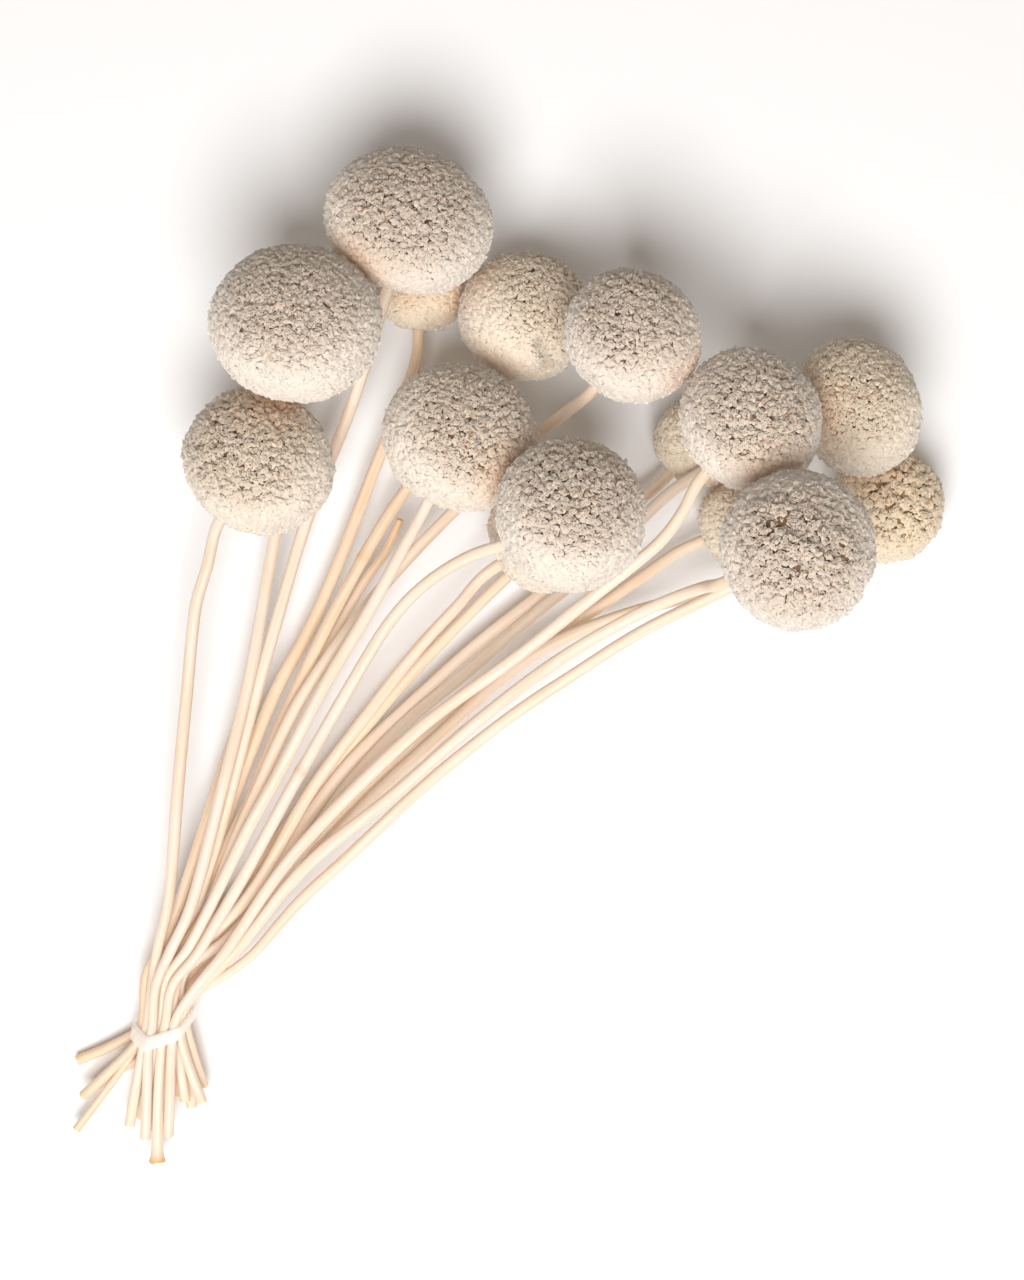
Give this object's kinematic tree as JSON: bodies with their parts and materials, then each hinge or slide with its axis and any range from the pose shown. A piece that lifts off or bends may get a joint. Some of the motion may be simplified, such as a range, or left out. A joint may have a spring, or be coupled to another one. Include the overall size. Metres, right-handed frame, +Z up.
{
  "type": "dried billy buttons bunch",
  "caption": "Bunch of dried billy buttons lying flat: round heads of packed florets on long bare stems, tied near their cut ends by a narrow band.",
  "frame": {"origin": "middle of the bunch's footprint, on the surface it lies on", "axes": "+Y along the bunch from the cut ends to the heads, +Z up from the surface it lies on, +X to the right seen from above"},
  "size_m": [0.1614, 0.1852, 0.0672],
  "materials": {
    "florets": "dry, crinkled, matt",
    "stems": "dry, finely ribbed, matt",
    "tie": "translucent, satin"
  },
  "bodies": {
    "root": {"head_01": "florets", "head_02": "florets", "head_03": "florets", "head_04": "florets", "head_05": "florets", "head_06": "florets", "head_07": "florets", "head_08": "florets", "head_09": "florets", "head_10": "florets", "head_11": "florets", "head_12": "florets", "head_13": "florets", "head_14": "florets", "head_15": "florets", "stem_01": "stems", "stem_02": "stems", "stem_03": "stems", "stem_04": "stems", "stem_05": "stems", "stem_06": "stems", "stem_07": "stems", "stem_08": "stems", "stem_09": "stems", "stem_10": "stems", "stem_11": "stems", "stem_12": "stems", "stem_13": "stems", "stem_14": "stems", "stem_15": "stems", "stem_16": "stems", "stem_17": "stems", "stem_18": "stems", "stem_19": "stems", "tie_band": "tie"}
  },
  "joints": []
}
